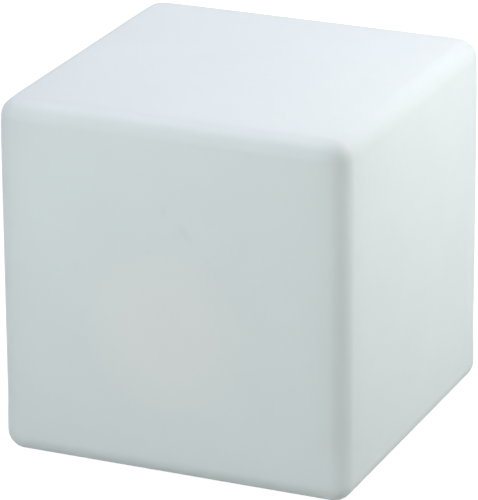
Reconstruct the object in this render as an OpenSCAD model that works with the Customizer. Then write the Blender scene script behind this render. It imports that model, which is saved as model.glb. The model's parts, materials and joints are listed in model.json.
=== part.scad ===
// Cube light: a hollow moulded cube with a rechargeable LED module in its base.
// Sizes are millimetres. The origin is on the floor, under the middle of the cube, and +Z is up.
// The module hangs in a round recess: its cup passes up through a hole in the recess ceiling,
// and its flange is screwed to that ceiling from below.

/* [Cube] */
// Width of the cube over its flat sides
cube_w = 400; // [300:10:600]
// Radius of the rounded edges and corners
edge_r = 22; // [16:1:32]
// Wall of the moulded shell
wall = 3.5; // [2.5:0.5:5]

/* [Feet] */
// Diameter of a rubber foot
foot_d = 24; // [16:1:36]
// How far the feet hold the shell off the floor
foot_h = 2.5; // [1.5:0.5:5]
// Depth of the seat that a foot is set into
foot_sink = 1.2; // [0.6:0.2:1.8]
// Side of the cube to the middle of a foot
foot_inset = 50; // [45:1:80]

/* [Base recess] */
// Height of the recess in the base
recess_h = 25; // [24:1:40]
// Radius between the recess ceiling and its side
ceiling_fillet_r = 8; // [5:1:10]
// Radius of the rounded mouth
mouth_fillet_r = 10; // [8:1:13]
// Slope of the recess side, in degrees
recess_draft = 8; // [2:1:15]
// Flat ceiling beyond the flange
seat_margin = 6; // [3:1:12]

/* [Module fixing] */
// Number of screws that hold the module
flange_screw_count = 6; // [4:1:8]
// Diameter of the moulded boss over each insert
boss_d = 15; // [13:0.5:17]
// Diameter of a brass insert
insert_d = 8; // [7:0.5:9]
// Length of a brass insert
insert_len = 10; // [8:0.5:14]
// Thread diameter of the flange screws
flange_screw_d = 4; // [3:0.5:5]
// Length of a flange screw under its head
flange_screw_len = 12; // [10:1:16]
// Thickness of the sealing washers
washer_t = 1; // [0.5:0.25:1.5]
// Thickness of the flange gasket
gasket_t = 2; // [1:0.5:3]

/* [Housing] */
// Thickness of the flange and of the cup's floor
flange_t = 3; // [2.5:0.25:4]
// Width of the flange outside the cup
flange_w = 21; // [20:0.5:30]
// Wall of the cup
cup_wall = 3; // [2.5:0.25:4]
// Depth of the cup above its floor
cup_depth = 42; // [40:1:60]
// Least space between the cup and what it holds
cup_clearance = 0.4; // [0.2:0.1:3]
// Space between the cup and the hole in the shell
neck_clearance = 1.5; // [1:0.25:3]
// Depth of the control panel's recess in the floor
panel_sink = 0.8; // [0.4:0.1:1]

/* [Dome] */
// Wall of the diffuser dome
dome_wall = 1.5; // [1:0.1:1.6]
// Height of the dome's straight skirt
skirt_h = 13.5; // [12:0.5:30]
// Radius of the dome's shoulder
dome_shoulder_r = 16; // [8:1:24]
// Slope angle where the shoulder meets the cap
dome_blend_angle = 65; // [50:1:75]
// Thickness of the seal under the dome
dome_seal_t = 1; // [0.6:0.1:2]

/* [Battery] */
// Diameter of a cell
cell_d = 18.4; // [17:0.1:19]
// Length of a cell
cell_len = 65.2; // [60:0.1:71]
// Gap between the two cells
cell_gap = 0.6; // [0.3:0.1:2]

/* [Control board] */
// Length of the control board
board_w = 42; // [41:0.5:44]
// Depth of the control board
board_d = 32; // [30:0.5:34]
// Thickness of the circuit boards
pcb_t = 1.6; // [1:0.1:2]
// Gap between the control board and the battery cradle
board_gap = 6; // [5:0.5:7]

/* [Controls] */
// Spacing of the button, the indicator and the charging socket
control_pitch = 18; // [17:0.5:19]
// Diameter of the power button
button_d = 14; // [11:0.5:15]
// How far the button goes in
button_travel = 2; // [1:0.25:3]
// How far the button stands below the flange
button_reach = 4; // [2:0.5:5]
// Diameter of the indicator lens
lens_d = 4.4; // [3:0.2:6]

/* [Charging socket] */
// Diameter of the socket's bore
jack_bore_d = 6.3; // [5.8:0.1:7]
// Diameter of the centre pin
jack_pin_d = 2.1; // [1.6:0.1:2.5]
// Depth of the socket's bore
jack_bore_depth = 10; // [9:0.5:12]
// Diameter of the threaded barrel
jack_body_d = 11; // [10:0.5:12]
// Diameter of the socket's face
jack_face_d = 14; // [13.5:0.25:14.5]
// Width across the flats of the nut
nut_af = 14; // [13:0.5:15]

/* [Port flap] */
// Diameter of the flap over the socket
flap_d = 16; // [15:0.25:16.5]
// Thickness of the flap
flap_t = 1.8; // [1.2:0.1:2.2]
// Diameter of the hinge pin
flap_pin_d = 1.5; // [1:0.1:1.8]

/* [LED deck] */
// Thickness of the aluminium deck plate
deck_t = 2; // [1:0.5:3]
// LEDs on the outer ring
outer_leds = 16; // [8:1:20]
// LEDs on the inner ring
inner_leds = 8; // [4:1:10]
// Width of an LED
led_w = 5; // [3:0.5:5.5]
// Height of an LED
led_h = 1.6; // [1:0.1:2]

/* [Hidden] */
$fn = 96;

// Clearances and small fits
eps = 1;                // overrun of a cut past a face
insert_fit = 0.05;      // round a brass insert
thread_gap = 0.05;      // between a screw's thread and what it bites
hole_gap = 0.25;        // round a screw that passes through
seat_fit = 0.3;         // round a foot in its seat
cell_fit = 0.2;         // round a cell in the cradle
slide_fit = 0.3;        // round the sliding button
part_gap = 0.15;        // round a fixed part in its hole
pin_fit = 0.03;         // round the hinge pin in its ears
hinge_fit = 0.06;       // round the hinge pin in the flap
snap_fit = 0.15;        // between the dome and the cup's rim
clear_gap = 0.6;        // between parts that must not meet

// Small screws, and screw heads as shares of the shank diameter
small_screw_d = 3;
board_screw_d = 2.5;
screw_bite = 6.4;
pilot_depth = 9;
head_d_ratio = 1.9;
head_h_ratio = 0.65;
head_dome_ratio = 0.75;
slot_len_ratio = 0.6;
slot_w_ratio = 0.14;
slot_depth_ratio = 0.55;

// Heights, from the floor up
base_z = foot_h;
ceiling_z = base_z + recess_h;
ceiling_top_z = ceiling_z + wall;
cup_floor_z = ceiling_z - gasket_t;
flange_z = cup_floor_z - flange_t;
panel_z = flange_z + panel_sink;
rim_z = cup_floor_z + cup_depth;

// Battery pack: two cells side by side along X, in a cradle whose near side is at y = 0
cell_r = cell_d / 2;
cradle_rim = 1.5;
cradle_floor = 2;
cradle_end_rise = 3;
cradle_tab_t = 3;
cradle_tab_w = 2;
trough_drop = 4;
link_t = 0.3;
link_h = 8;
link_tab_w = 5;
link_tab_rise = 1.2;
cell_ys = [for (i = [0, 1]) cradle_rim + cell_fit + cell_r + i * (cell_d + cell_gap)];
pack_y = (cell_ys[0] + cell_ys[1]) / 2;
cell_z = cup_floor_z + cradle_floor + cell_fit + cell_r;
cradle_depth = cell_ys[1] + cell_r + cell_fit + cradle_rim;
cradle_len = cell_len + 2 * (link_t + cell_fit + cradle_rim);
trough_z = cell_z - trough_drop;
cradle_end_z = cell_z + cradle_end_rise;
clamp_post_d = 8;
clamp_post_gap = 0.2;
clamp_post_x = cradle_len / 2 + clamp_post_d / 2 + cell_fit + clamp_post_gap;
clamp_w = 12;
clamp_rise = 4.1;
clamp_cover_t = 1.4;
clamp_z = cell_z + clamp_rise;
clamp_top_z = cell_z + cell_r + clamp_cover_t;

// Controls, in a row along X below the control board
controls_y = -(board_gap + board_d / 2);
button_x = -control_pitch;
jack_x = control_pitch;

// Charging socket and its nut
jack_face_t = 2;
jack_face_z = panel_z - jack_face_t;
jack_back_t = 4;
jack_back_z = jack_face_z + jack_bore_depth + jack_back_t;
jack_lug = [2.6, 0.6, 5];
jack_lug_inset = 1;
jack_lug_y = -(jack_body_d / 2 - jack_lug_inset - jack_lug.y / 2);
pin_tip_inset = 1;
pin_tip_chamfer = 0.5;
pin_root_step = 0.5;
pin_root_d = jack_pin_d + pin_root_step;
pin_tail_ratio = 0.8;
nut_t = 2.5;
nut_corner_r = nut_af / 2 / cos(30);

// Control board, beside the nut
nut_board_gap = 2;
board_right = jack_x - nut_corner_r - nut_board_gap;
board_x = board_right - board_w / 2;
board_left = board_right - board_w;
board_hole_inset = 3.5;
standoff_d = 6;
button_flange_t = 1.5;
button_flange_w = 2;
switch_size = [8.5, 8.5, 8];
plunger_w = 3;
plunger_in_cap = 3;
plunger_in_switch = 1.5;
plunger_fit = 0.1;
button_seal_w = 3;
button_seal_sink = 1;
button_seal_t = 1.4;
switch_z = cup_floor_z + button_flange_t + button_travel + clear_gap;
board_z = switch_z + switch_size.z;
board_top_z = board_z + pcb_t;
connector_count = 3;
connector_size = [7.5, 6, 7];
connector_inset = 3;
connector_start = board_hole_inset + board_screw_d * head_d_ratio / 2 + clear_gap + connector_size.x / 2;
connector_pitch = (board_w - 2 * connector_start) / (connector_count - 1);
connector_y = controls_y + (board_d - connector_size.y) / 2 - connector_inset;
connector_top_z = board_top_z + connector_size.z;
function connector_x(i) = board_left + connector_start + i * connector_pitch;

// Blocks soldered on the board, each as its place from the board's middle and its size
driver_chip = [[1, -3], [10, 8, 1.4]];
charge_chip = [[10, -6], [5, 4, 1.2]];
shunt = [[9, -12], [6, 3, 2]];
inductor = [[-1, -11.5], [7.5, 7.5, 4]];
capacitor_place = [-11, -5];
capacitor_r = 4;
capacitor_h = 10;

// Cup, flange and the hole in the shell, sized by what the cup holds
pack_reach = norm([cradle_len / 2, cradle_depth]);
board_reach = norm([board_left, controls_y - board_d / 2]);
cup_inner_r = ceil(max(pack_reach, board_reach) + cup_clearance);
cup_r = cup_inner_r + cup_wall;
neck_r = cup_r + neck_clearance;
flange_r = cup_r + flange_w;
flange_chamfer = 1;
screw_ring_r = (neck_r + flange_r) / 2;
stiffener = [2, 0.8];
gasket_edge = 1;

// Shell recess: the centres of its two fillets, and the ring of base wall that is turned with it
ceiling_flat_r = flange_r + seat_margin;
ceiling_centre = [ceiling_flat_r, ceiling_z - ceiling_fillet_r];
fillet_drop = recess_h - ceiling_fillet_r - mouth_fillet_r;
draft_run = fillet_drop * sin(recess_draft);
mouth_centre = [
    ceiling_flat_r + (ceiling_fillet_r + mouth_fillet_r + draft_run) / cos(recess_draft),
    base_z + mouth_fillet_r
];
recess_lap = 3;
recess_cut_r = mouth_centre.x + recess_lap;
recess_ring_r = recess_cut_r + recess_lap;
arc_steps = 12;

// Seats in the underside
foot_pos = cube_w / 2 - foot_inset;
foot_chamfer = 1;
boss_cap_t = 2.5;
boss_top_z = ceiling_z + insert_len + boss_cap_t;
insert_groove = [1.2, 0.5];
washer_w = 3;
washer_r = flange_screw_d / 2 + washer_w;

// LED deck, held near the cup's rim
deck_drop = 3.5;
deck_top_z = rim_z - deck_drop;
deck_z = deck_top_z - deck_t;
deck_edge_gap = 2;
deck_r = cup_inner_r - deck_edge_gap;
deck_screw_count = 4;
deck_boss_d = 8;
deck_boss_web = 3;
deck_boss_ring_r = cup_inner_r - deck_boss_d / 2 - deck_boss_web;
led_board_gap = 6;
led_board_r = deck_boss_ring_r - led_board_gap;
led_board_top_z = deck_top_z + pcb_t;
led_ring_inset = 8;
led_ring_pitch = 15;
outer_led_r = led_board_r - led_ring_inset;
inner_led_r = outer_led_r - led_ring_pitch;
led_screw_count = 3;
led_screw_ring_r = (outer_led_r + inner_led_r) / 2;
phosphor_sink = 0.3;
phosphor_share = 0.8;
led_lead_y = -10;
led_lead_hole_r = 4;

// Dome on the cup's rim
rim_r = cup_r - dome_wall - snap_fit;
rim_h = 10;
dome_shelf_z = rim_z - rim_h;
skirt_z = dome_shelf_z + dome_seal_t;
snap_drop = 4;
snap_z = rim_z - snap_drop;
snap_h = 0.5;
snap_half_w = 0.9;
shoulder_centre = [cup_r - dome_shoulder_r, skirt_z + skirt_h];
cap_r = dome_shoulder_r + shoulder_centre.x / cos(dome_blend_angle);
cap_centre = [0, shoulder_centre.y - shoulder_centre.x * tan(dome_blend_angle)];

// Port flap, hinged beside the socket on the side away from the battery
lip_gap = 0.2;
lip_h = 1;
lip_w = 1.2;
flap_top_z = jack_face_z - lip_gap - lip_h;
flap_z = flap_top_z - flap_t;
hinge_z = flap_z + flap_t / 2;
hinge_y = controls_y - flap_d / 2 - clear_gap;
knuckle_wall = 0.75;
knuckle_r = flap_pin_d / 2 + knuckle_wall;
knuckle_len = 11.2;
ear_gap = 0.4;
ear_t = 1.6;
ear_step = 0.4;
ear_r = knuckle_r + ear_step;
nub_d = 4.8;
nub_h = 1.9;
tab_len = 1.8;
tab_w = 7;

// Panel recess in the floor, round all the controls and the flap
panel_margin = 5;
panel_r = 8;
panel_x = control_pitch + flap_d / 2 + panel_margin;
panel_tab_gap = 2;
panel_far_y = controls_y + flap_d / 2 + tab_len + panel_tab_gap;
panel_near_y = hinge_y - ear_r - panel_margin;

// Leads
lead_d = 1.8;
led_lead_d = 3;
lead_rings = 14;
lead_sides = 8;
lead_spread = 2;
lead_rise = 10;

// Colours
shell_white = [0.94, 0.94, 0.92];
moulding_white = [0.86, 0.87, 0.86];
moulding_black = [0.12, 0.12, 0.13];
rubber_grey = [0.3, 0.31, 0.32];
silicone_white = [0.8, 0.82, 0.83];
steel = [0.72, 0.73, 0.75];
nickel = [0.78, 0.76, 0.72];
brass = [0.8, 0.65, 0.3];
aluminium = [0.82, 0.83, 0.85];
board_green = [0.1, 0.4, 0.2];
board_white = [0.95, 0.95, 0.95];
phosphor_yellow = [0.95, 0.8, 0.3];
cell_blue = [0.15, 0.35, 0.6];
wire_red = [0.75, 0.1, 0.1];
wire_grey = [0.6, 0.6, 0.62];
frosted_white = [0.93, 0.95, 0.96];

// Unit vector at an angle in a profile
function dir(a) = [cos(a), sin(a)];
function unit(v) = v / norm(v);
// Points along an arc of a profile, from angle a0 to a1; first = 1 leaves out the point it shares
function arc(centre, r, a0, a1, first = 0) = [
    for (i = [first : arc_steps]) centre + r * dir(a0 + (a1 - a0) * i / arc_steps)
];
// Cubic curve through four control points, and its slope
function bezier(p, t) = pow(1 - t, 3) * p[0] + 3 * t * pow(1 - t, 2) * p[1]
    + 3 * t * t * (1 - t) * p[2] + pow(t, 3) * p[3];
function bezier_slope(p, t) = pow(1 - t, 2) * (p[1] - p[0])
    + 2 * t * (1 - t) * (p[2] - p[1]) + t * t * (p[3] - p[2]);

// Places its children count times round the Z axis, at radius r
module around(count, r, first = 0) {
    for (i = [0 : count - 1]) {
        rotate(first + 360 * i / count) translate([r, 0, 0]) children();
    }
}

// Round bar from height z0 to z1
module post(r, z0, z1) {
    translate([0, 0, z0]) cylinder(r = r, h = z1 - z0);
}

// Tube from height z0 to z1
module ring(r_in, r_out, z0, z1) {
    difference() {
        post(r_out, z0, z1);
        post(r_in, z0 - eps, z1 + eps);
    }
}

// Box centred on X and Y, standing on height z0
module slab(size, z0) {
    translate([-size.x / 2, -size.y / 2, z0]) cube(size);
}

// Strip of width r and height h whose two outer corners are quarter rounds
module rounded_end_strip(h, r) {
    translate([0, r]) square([r, h - 2 * r]);
    translate([0, h - r]) intersection() {
        circle(r);
        square(r);
    }
    translate([0, r]) intersection() {
        circle(r);
        translate([0, -r]) square(r);
    }
}

// Rectangle with rounded corners, from its lowest corner to its highest
module rounded_rectangle(low, high, r) {
    size = high - low;
    translate(low + [r, 0]) square([size.x - 2 * r, size.y]);
    translate([high.x - r, low.y]) rounded_end_strip(size.y, r);
    translate([low.x + r, low.y]) mirror([1, 0]) rounded_end_strip(size.y, r);
}

// Cube of width w with every edge and corner rounded to radius r, standing on its base
module rounded_block(w, r) {
    flat = w - 2 * r;
    slab([flat, flat, w], 0);
    for (a = [0 : 90 : 270]) {
        rotate(a) translate([flat / 2, flat / 2, 0]) {
            rotate_extrude(angle = 90) rounded_end_strip(w, r);
            rotate([90, 0, 0]) linear_extrude(flat) rounded_end_strip(w, r);
        }
    }
}

// Pan-head screw: the head hangs below z = 0 and the shank rises from it
module pan_screw(shank_d, shank_len) {
    head_d = shank_d * head_d_ratio;
    head_h = shank_d * head_h_ratio;
    dome_r = head_d * head_dome_ratio;
    slot_len = head_d * slot_len_ratio;
    slot_w = head_d * slot_w_ratio;
    slot_depth = head_h * slot_depth_ratio;
    post(shank_d / 2, 0, shank_len);
    difference() {
        rotate_extrude() intersection() {
            translate([0, -head_h]) square([head_d / 2, head_h]);
            translate([0, dome_r - head_h]) circle(dome_r);
        }
        for (a = [0, 90]) {
            rotate(a) slab([slot_len, slot_w, slot_depth + eps], -head_h - eps);
        }
    }
}

// The same screw upside down, so that its head stands on height z
module screw_from_above(z, shank_d, shank_len) {
    translate([0, 0, z]) mirror([0, 0, 1]) pan_screw(shank_d, shank_len);
}

// Insulated wire that leaves one point and reaches another along Z, bridging them in one curve
module lead(start, end, start_rise, end_rise, d) {
    p = [start, start + [0, 0, start_rise], end + [0, 0, end_rise], end];
    across = unit(cross([0, 0, 1], end - start));
    points = [
        for (i = [0 : lead_rings], k = [0 : lead_sides - 1])
            let (
                t = i / lead_rings,
                up = cross(unit(bezier_slope(p, t)), across),
                turn = dir(360 * k / lead_sides)
            )
            bezier(p, t) + d / 2 * (turn.x * across + turn.y * up)
    ];
    sides = [
        for (i = [0 : lead_rings - 1], k = [0 : lead_sides - 1])
            let (
                a = i * lead_sides + k,
                b = i * lead_sides + (k + 1) % lead_sides,
                c = b + lead_sides,
                d = a + lead_sides
            )
            each [[a, d, c], [a, c, b]]
    ];
    start_cap = [for (k = [0 : lead_sides - 1]) k];
    end_cap = [for (k = [lead_sides - 1 : -1 : 0]) lead_rings * lead_sides + k];
    polyhedron(points, concat(sides, [start_cap, end_cap]));
}

// Section of the recess wall, turned about Z: ceiling, fillet, sloped side, rounded mouth, base
module recess_section() {
    inside = concat(
        [[neck_r, ceiling_z]],
        arc(ceiling_centre, ceiling_fillet_r, 90, recess_draft),
        arc(mouth_centre, mouth_fillet_r, 180 + recess_draft, 270),
        [[recess_ring_r, base_z]]
    );
    outside = concat(
        [[recess_ring_r, base_z + wall]],
        arc(mouth_centre, mouth_fillet_r - wall, 270, 180 + recess_draft),
        arc(ceiling_centre, ceiling_fillet_r + wall, recess_draft, 90),
        [[neck_r, ceiling_top_z]]
    );
    polygon(concat(inside, outside));
}

// Places its children at the four feet
module at_feet() {
    for (x = [-foot_pos, foot_pos], y = [-foot_pos, foot_pos]) {
        translate([x, y, 0]) children();
    }
}

module shell() {
    seat_r = foot_d / 2 + seat_fit;
    seat_z = base_z + foot_sink;
    color(shell_white) difference() {
        union() {
            difference() {
                translate([0, 0, base_z]) rounded_block(cube_w, edge_r);
                translate([0, 0, base_z + wall]) rounded_block(cube_w - 2 * wall, edge_r - wall);
                post(recess_cut_r, 0, base_z + wall + eps);
            }
            rotate_extrude() recess_section();
            at_feet() post(seat_r + wall, base_z + wall / 2, seat_z + wall);
            around(flange_screw_count, screw_ring_r) post(boss_d / 2, ceiling_z + wall / 2, boss_top_z);
        }
        at_feet() post(seat_r, base_z - eps, seat_z);
        around(flange_screw_count, screw_ring_r)
            post(insert_d / 2 + insert_fit, ceiling_z - eps, ceiling_z + insert_len);
    }
}

// Brass sleeves with two retaining grooves, moulded into the bosses
module threaded_inserts() {
    bore_r = flange_screw_d / 2 + thread_gap;
    outer_r = insert_d / 2;
    color(brass) around(flange_screw_count, screw_ring_r) difference() {
        ring(bore_r, outer_r, ceiling_z, ceiling_z + insert_len);
        for (share = [1 / 3, 2 / 3]) {
            groove_z = ceiling_z + insert_len * share;
            ring(outer_r - insert_groove.y, outer_r + eps,
                groove_z - insert_groove.x / 2, groove_z + insert_groove.x / 2);
        }
    }
}

module feet() {
    foot_r = foot_d / 2;
    color(rubber_grey) at_feet() rotate_extrude() polygon([
        [0, 0],
        [foot_r - foot_chamfer, 0],
        [foot_r, foot_chamfer],
        [foot_r, base_z + foot_sink],
        [0, base_z + foot_sink]
    ]);
}

// Section of the cup's wall, with the shelf, the rim and the bead that the dome snaps over
module cup_wall_section() {
    polygon([
        [cup_inner_r, cup_floor_z],
        [cup_r, cup_floor_z],
        [cup_r, dome_shelf_z],
        [rim_r, dome_shelf_z],
        [rim_r, snap_z - snap_half_w],
        [rim_r + snap_h, snap_z],
        [rim_r, snap_z + snap_half_w],
        [rim_r, rim_z],
        [cup_inner_r, rim_z]
    ]);
}

// Places its children at the control board's four screws
module at_board_screws() {
    for (x = [board_left + board_hole_inset, board_right - board_hole_inset], side = [-1, 1]) {
        translate([x, controls_y + side * (board_d / 2 - board_hole_inset), 0]) children();
    }
}

// Places its children at the two posts beyond the ends of the cells
module at_clamp_posts() {
    for (x = [-clamp_post_x, clamp_post_x]) {
        translate([x, pack_y, 0]) children();
    }
}

// The two ears under the panel that carry the flap's hinge pin
module hinge_ears() {
    for (side = [-1, 1]) {
        translate([jack_x + side * (knuckle_len / 2 + ear_gap + ear_t / 2), hinge_y, 0]) difference() {
            union() {
                slab([ear_t, 2 * ear_r, panel_z + panel_sink / 2 - hinge_z], hinge_z);
                translate([-ear_t / 2, 0, hinge_z]) rotate([0, 90, 0]) cylinder(r = ear_r, h = ear_t);
            }
            translate([-ear_t / 2 - eps, 0, hinge_z]) rotate([0, 90, 0])
                cylinder(r = flap_pin_d / 2 + pin_fit, h = ear_t + 2 * eps);
        }
    }
}

// Hole for a screw's thread, down from height top_z
module pilot_hole(screw_d, top_z) {
    post(screw_d / 2 + thread_gap, top_z - pilot_depth, top_z + eps);
}

module deck_bosses() {
    around(deck_screw_count, deck_boss_ring_r) {
        post(deck_boss_d / 2, cup_floor_z, deck_z);
        translate([0, -deck_boss_web / 2, cup_floor_z])
            cube([(cup_inner_r + rim_r) / 2 - deck_boss_ring_r, deck_boss_web, deck_z - cup_floor_z]);
    }
}

// Everything that is cut out of the cup's floor for the controls
module control_cuts() {
    translate([0, 0, flange_z - eps]) linear_extrude(panel_sink + eps)
        rounded_rectangle([-panel_x, panel_near_y], [panel_x, panel_far_y], panel_r);
    translate([button_x, controls_y, 0]) {
        post(button_d / 2 + slide_fit, flange_z, cup_floor_z + eps);
        post(button_d / 2 + button_seal_w, flange_z, panel_z + button_seal_sink);
    }
    translate([0, controls_y, 0]) post(lens_d / 2 + part_gap, flange_z, cup_floor_z + eps);
    translate([jack_x, controls_y, 0]) post(jack_body_d / 2 + part_gap, flange_z, cup_floor_z + eps);
}

module module_housing() {
    color(moulding_white) difference() {
        union() {
            rotate_extrude() polygon([
                [0, flange_z],
                [flange_r - flange_chamfer, flange_z],
                [flange_r, flange_z + flange_chamfer],
                [flange_r, cup_floor_z],
                [0, cup_floor_z]
            ]);
            ring(cup_r, cup_r + stiffener.x, flange_z - stiffener.y, flange_z + flange_t / 2);
            rotate_extrude() cup_wall_section();
            deck_bosses();
            at_clamp_posts() post(clamp_post_d / 2, cup_floor_z, clamp_z);
            at_board_screws() post(standoff_d / 2, cup_floor_z, board_z);
        }
        around(flange_screw_count, screw_ring_r)
            post(flange_screw_d / 2 + hole_gap, flange_z - eps, cup_floor_z + eps);
        around(deck_screw_count, deck_boss_ring_r) pilot_hole(small_screw_d, deck_z);
        at_clamp_posts() pilot_hole(small_screw_d, clamp_z);
        at_board_screws() pilot_hole(board_screw_d, board_z);
        control_cuts();
    }
    color(moulding_white) hinge_ears();
}

module flange_gasket() {
    color(silicone_white) difference() {
        ring(neck_r + gasket_edge, flange_r - gasket_edge, cup_floor_z, ceiling_z);
        around(flange_screw_count, screw_ring_r)
            post(flange_screw_d / 2 + 2 * hole_gap, cup_floor_z - eps, ceiling_z + eps);
    }
}

module screw_washers() {
    color(rubber_grey) around(flange_screw_count, screw_ring_r)
        ring(flange_screw_d / 2 + thread_gap, washer_r, flange_z - washer_t, flange_z);
}

module flange_screws() {
    color(steel) around(flange_screw_count, screw_ring_r)
        translate([0, 0, flange_z - washer_t]) pan_screw(flange_screw_d, flange_screw_len);
}

// Cap with a finger dish, a retaining flange inside the cup and a socket for the switch's plunger
module power_button() {
    cap_z = flange_z - button_reach;
    button_r = button_d / 2;
    dish_r = 2 * button_d;
    dish_depth = 0.6;
    cap_chamfer = 0.8;
    flange_top = cup_floor_z + button_flange_t;
    color(moulding_black) translate([button_x, controls_y, 0]) difference() {
        rotate_extrude() polygon([
            [0, cap_z],
            [button_r - cap_chamfer, cap_z],
            [button_r, cap_z + cap_chamfer],
            [button_r, cup_floor_z],
            [button_r + button_flange_w, cup_floor_z],
            [button_r + button_flange_w, flange_top],
            [0, flange_top]
        ]);
        translate([0, 0, cap_z + dish_depth - dish_r]) sphere(dish_r);
        slab([plunger_w + 2 * plunger_fit, plunger_w + 2 * plunger_fit, plunger_in_cap + eps],
            flange_top - plunger_in_cap);
    }
}

module switch_plunger() {
    plunger_z = cup_floor_z + button_flange_t - plunger_in_cap;
    color(moulding_white) translate([button_x, controls_y, 0])
        slab([plunger_w, plunger_w, switch_z + plunger_in_switch - plunger_z], plunger_z);
}

// Push switch under the control board, with the slot that its plunger rises into
module switch_body() {
    slot_w = plunger_w + 2 * slide_fit;
    slot_depth = plunger_in_switch + button_travel + clear_gap;
    color(moulding_black) translate([button_x, controls_y, 0]) difference() {
        slab(switch_size, switch_z);
        slab([slot_w, slot_w, slot_depth + eps], switch_z - eps);
    }
}

module button_seal() {
    color(rubber_grey) translate([button_x, controls_y, 0])
        ring(button_d / 2 + slide_fit, button_d / 2 + button_seal_w,
            panel_z + button_seal_sink - button_seal_t, panel_z + button_seal_sink);
}

// Light pipe from the panel up to the indicator LED, with a collar inside the cup
module indicator_lens() {
    collar_w = 1;
    collar_t = 1;
    proud = 0.4;
    pipe_gap = 5;
    color(frosted_white) translate([0, controls_y, 0]) {
        post(lens_d / 2, panel_z - proud, board_z - pipe_gap);
        post(lens_d / 2 + collar_w, cup_floor_z, cup_floor_z + collar_t);
    }
}

// Barrel of the socket, with its face flange outside the panel and its earth lug inside
module charge_socket() {
    face_chamfer = 0.5;
    root_r = pin_root_d / 2 + thread_gap;
    bore_end_z = jack_face_z + jack_bore_depth;
    color(moulding_black) translate([jack_x, controls_y, 0]) {
        rotate_extrude() polygon([
            [jack_bore_d / 2, jack_face_z],
            [jack_face_d / 2 - face_chamfer, jack_face_z],
            [jack_face_d / 2, jack_face_z + face_chamfer],
            [jack_face_d / 2, panel_z],
            [jack_body_d / 2, panel_z],
            [jack_body_d / 2, jack_back_z],
            [root_r, jack_back_z],
            [root_r, bore_end_z],
            [jack_bore_d / 2, bore_end_z]
        ]);
        translate([0, jack_lug_y, 0]) slab(jack_lug, jack_back_z);
    }
}

// Centre contact: the pin a plug slides over, its thicker root and its solder tail
module charge_pin() {
    tip_z = jack_face_z + pin_tip_inset;
    bore_end_z = jack_face_z + jack_bore_depth;
    pin_r = jack_pin_d / 2;
    tail_r = pin_r * pin_tail_ratio;
    color(brass) translate([jack_x, controls_y, 0]) rotate_extrude() polygon([
        [0, tip_z],
        [pin_r - pin_tip_chamfer, tip_z],
        [pin_r, tip_z + pin_tip_chamfer],
        [pin_r, bore_end_z],
        [pin_root_d / 2, bore_end_z],
        [pin_root_d / 2, jack_back_z],
        [tail_r, jack_back_z],
        [tail_r, jack_back_z + jack_lug.z],
        [0, jack_back_z + jack_lug.z]
    ]);
}

module socket_nut() {
    color(steel) translate([jack_x, controls_y, 0]) difference() {
        translate([0, 0, cup_floor_z]) cylinder(r = nut_corner_r, h = nut_t, $fn = 6);
        post(jack_body_d / 2 + thread_gap, cup_floor_z - eps, cup_floor_z + nut_t + eps);
    }
}

// Cover with a sealing lip, a nub that enters the socket, a finger tab and a hinge knuckle
module port_flap() {
    lip_r = jack_bore_d / 2 + 1;
    color(rubber_grey) translate([jack_x, controls_y, 0]) {
        difference() {
            union() {
                translate([0, 0, flap_z]) linear_extrude(flap_t) union() {
                    circle(flap_d / 2);
                    translate([-knuckle_len / 2, hinge_y - controls_y])
                        square([knuckle_len, controls_y - hinge_y]);
                    translate([-tab_w / 2, 0]) square([tab_w, flap_d / 2 + tab_len]);
                }
                translate([-knuckle_len / 2, hinge_y - controls_y, hinge_z]) rotate([0, 90, 0])
                    cylinder(r = knuckle_r, h = knuckle_len);
            }
            translate([-knuckle_len / 2 - eps, hinge_y - controls_y, hinge_z]) rotate([0, 90, 0])
                cylinder(r = flap_pin_d / 2 + hinge_fit, h = knuckle_len + 2 * eps);
        }
        ring(lip_r, lip_r + lip_w, flap_top_z - flap_t / 2, flap_top_z + lip_h);
        post(nub_d / 2, flap_top_z - flap_t / 2, flap_top_z + nub_h);
    }
}

module flap_pin() {
    pin_len = knuckle_len + 2 * (ear_gap + ear_t);
    color(steel) translate([jack_x - pin_len / 2, hinge_y, hinge_z]) rotate([0, 90, 0])
        cylinder(r = flap_pin_d / 2, h = pin_len);
}

// Bars along X in the shape of the two cells, grown by a fit
module cell_bars(grow, len) {
    for (y = cell_ys) {
        translate([-len / 2, y, cell_z]) rotate([0, 90, 0]) cylinder(r = cell_r + grow, h = len);
    }
}

// Tray with two troughs and two end walls, located by tabs round the clamp posts
module battery_cradle() {
    tab_r = clamp_post_d / 2 + cradle_tab_w;
    tab_top_z = cup_floor_z + cradle_tab_t;
    bay_len = cradle_len - 2 * cradle_rim;
    color(moulding_black) difference() {
        union() {
            translate([-cradle_len / 2, 0, cup_floor_z])
                cube([cradle_len, cradle_depth, cradle_end_z - cup_floor_z]);
            at_clamp_posts() post(tab_r, cup_floor_z, tab_top_z);
        }
        translate([-bay_len / 2, -eps, trough_z])
            cube([bay_len, cradle_depth + 2 * eps, cradle_end_z - trough_z + eps]);
        cell_bars(cell_fit, bay_len);
        at_clamp_posts() post(clamp_post_d / 2 + cell_fit, cup_floor_z - eps, tab_top_z + eps);
    }
}

// Two cells with a button contact inside the positive end's link
module battery_cells() {
    crimp = [1.2, 0.4];
    crimp_place = 4;
    color(cell_blue) for (y = cell_ys) {
        translate([-cell_len / 2, y, cell_z]) rotate([0, 90, 0]) difference() {
            cylinder(r = cell_r, h = cell_len);
            translate([0, 0, cell_len - crimp_place]) ring(cell_r - crimp.y, cell_r + eps, 0, crimp.x);
        }
    }
}

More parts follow.
